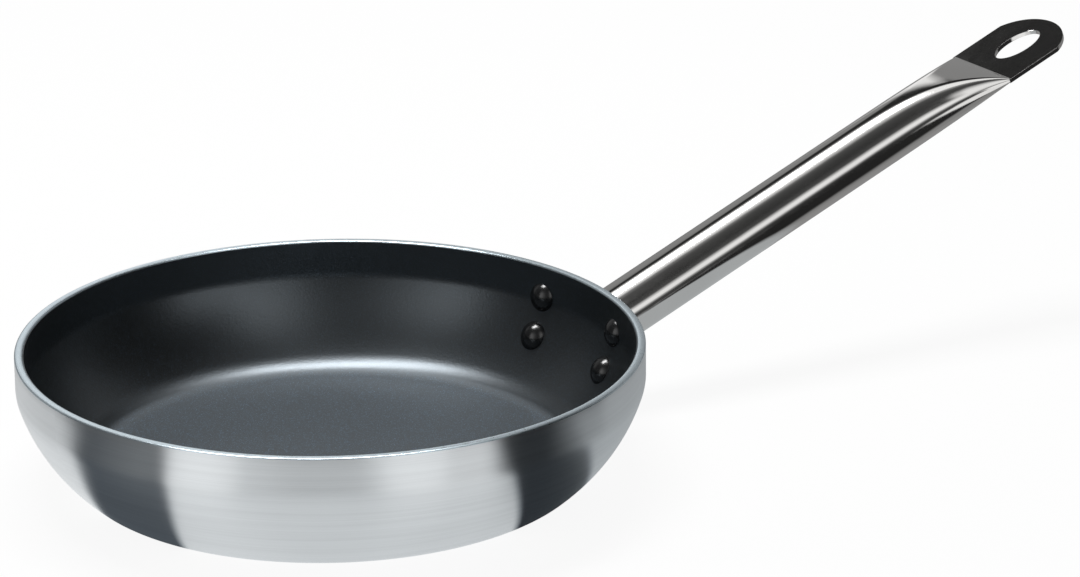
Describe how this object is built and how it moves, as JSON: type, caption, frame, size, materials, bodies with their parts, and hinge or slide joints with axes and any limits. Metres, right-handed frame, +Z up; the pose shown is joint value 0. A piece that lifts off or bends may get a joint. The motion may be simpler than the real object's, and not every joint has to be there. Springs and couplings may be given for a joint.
{
  "type": "omelette pan",
  "caption": "Round shallow frying pan with curved sides, dark non-stick lining and a riveted steel tube handle that ends in a flat tab with an oval hanging eye.",
  "frame": {"origin": "centre of the flat base, on the plane that the pan rests on", "axes": "+Z up; +X towards the handle; +Y to the left of the handle seen from above with the handle pointing away"},
  "size_m": [0.51, 0.26, 0.1261],
  "materials": {
    "bare_aluminium": "satin, turned lines round the axis",
    "nonstick": "dark film with fine pale speckle, semi-matt",
    "polished_steel": "polished stainless steel",
    "plate_steel": "satin stainless steel",
    "weld_steel": "as welded, brushed clean",
    "rivet_metal": "pressed bright",
    "rivet_film": "black, semi-gloss"
  },
  "bodies": {
    "root": {"pan_body": "bare_aluminium", "nonstick_coating": "nonstick", "handle_bracket": "plate_steel", "handle_tube": "polished_steel", "handle_weld": "weld_steel", "rivet_upper_left": "rivet_metal", "rivet_coating_upper_left": "rivet_film", "rivet_upper_right": "rivet_metal", "rivet_coating_upper_right": "rivet_film", "rivet_lower_left": "rivet_metal", "rivet_coating_lower_left": "rivet_film", "rivet_lower_right": "rivet_metal", "rivet_coating_lower_right": "rivet_film"}
  },
  "joints": []
}
